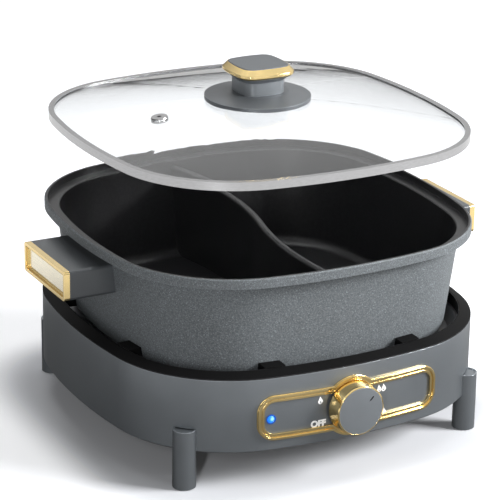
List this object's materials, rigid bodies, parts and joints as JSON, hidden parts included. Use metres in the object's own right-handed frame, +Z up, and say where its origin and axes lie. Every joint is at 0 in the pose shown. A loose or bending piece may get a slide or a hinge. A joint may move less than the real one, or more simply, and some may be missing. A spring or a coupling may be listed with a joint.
{
  "type": "electric hot pot with lid",
  "caption": "Square electric hot pot: a lift-out pot split by an S-shaped wall in a heated base with a dial, under a raised glass lid.",
  "frame": {"origin": "on the floor, below the middle of the pot", "axes": "+Z up, the control panel faces -Y, and the handles point along +X and -X"},
  "size_m": [0.354, 0.3317, 0.275],
  "materials": {
    "pot_coat": "matte speckled grey coat outside, black non-stick inside",
    "handle_plastic": "satin grey",
    "gold_metal": "polished gold plate",
    "champagne_metal": "fine brushed pale gold",
    "steel": "zinc plated",
    "grey_paint": "satin grey",
    "black_plastic": "fine matte",
    "black_rubber": "matte",
    "pan_sheet": "pressed sheet",
    "cast_alloy": "cast and turned",
    "element_tube": "heat-dulled tube",
    "knob_grey": "fine satin grey",
    "switch_plastic": "moulded",
    "blue_lamp": "clear blue lens",
    "brass_pins": "bright",
    "clear_glass": "tempered clear glass",
    "lid_steel": "polished rolled steel"
  },
  "bodies": {
    "base": {"base_housing": "grey_paint", "top_ring": "black_plastic", "guide_pads": "black_rubber", "bottom_cover": "black_plastic", "cover_screws": "steel", "foot_posts": "grey_paint", "foot_pads": "black_rubber", "foot_screws": "steel", "reflector_pan": "pan_sheet", "pan_screws": "steel", "heating_plate": "cast_alloy", "plate_posts": "steel", "element_ends": "element_tube", "sensor_holder": "steel", "sensor_spring": "steel", "panel_frame": "gold_metal", "rotary_switch": "switch_plastic", "switch_screws": "steel", "indicator_lens": "blue_lamp", "indicator_holder": "switch_plastic", "inlet_socket": "black_plastic", "inlet_pins": "brass_pins", "terminal_block": "switch_plastic"},
    "pot": {"pot_shell": "pot_coat", "handle_grip_right": "handle_plastic", "handle_grip_left": "handle_plastic", "handle_frame_right": "gold_metal", "handle_frame_left": "gold_metal", "handle_inlay_right": "champagne_metal", "handle_inlay_left": "champagne_metal", "handle_screws": "steel"},
    "lid": {"lid_glass": "clear_glass", "lid_band": "lid_steel", "vent_grommet": "lid_steel", "lid_flange": "knob_grey", "lid_neck": "knob_grey", "lid_crown": "gold_metal", "lid_cap": "knob_grey", "lid_screw": "steel", "lid_washer": "black_rubber"},
    "knob": {"knob_skirt": "gold_metal", "knob_face": "knob_grey", "knob_pointer": "black_plastic", "switch_shaft": "steel"},
    "sensor": {"sensor_cap": "cast_alloy", "sensor_clip": "steel"}
  },
  "joints": [
    {"name": "pot_lift", "type": "slide", "parent": "base", "child": "pot", "axis": [0, 0, 1], "range_m": [0, 0.12]},
    {"name": "lid_lift", "type": "slide", "parent": "pot", "child": "lid", "axis": [0, 0, 1], "range_m": [-0.07, 0.08]},
    {"name": "knob_turn", "type": "hinge", "parent": "base", "child": "knob", "pos_m": [0, -0.15264, 0.0545], "axis": [0, 1, 0], "range_deg": [-180, 90]},
    {"name": "sensor_press", "type": "slide", "parent": "base", "child": "sensor", "axis": [0, 0, 1], "range_m": [-0.003, 0], "stiffness_N_per_m": 400, "springref_m": 0.006, "deforming": ["sensor_spring"]}
  ]
}
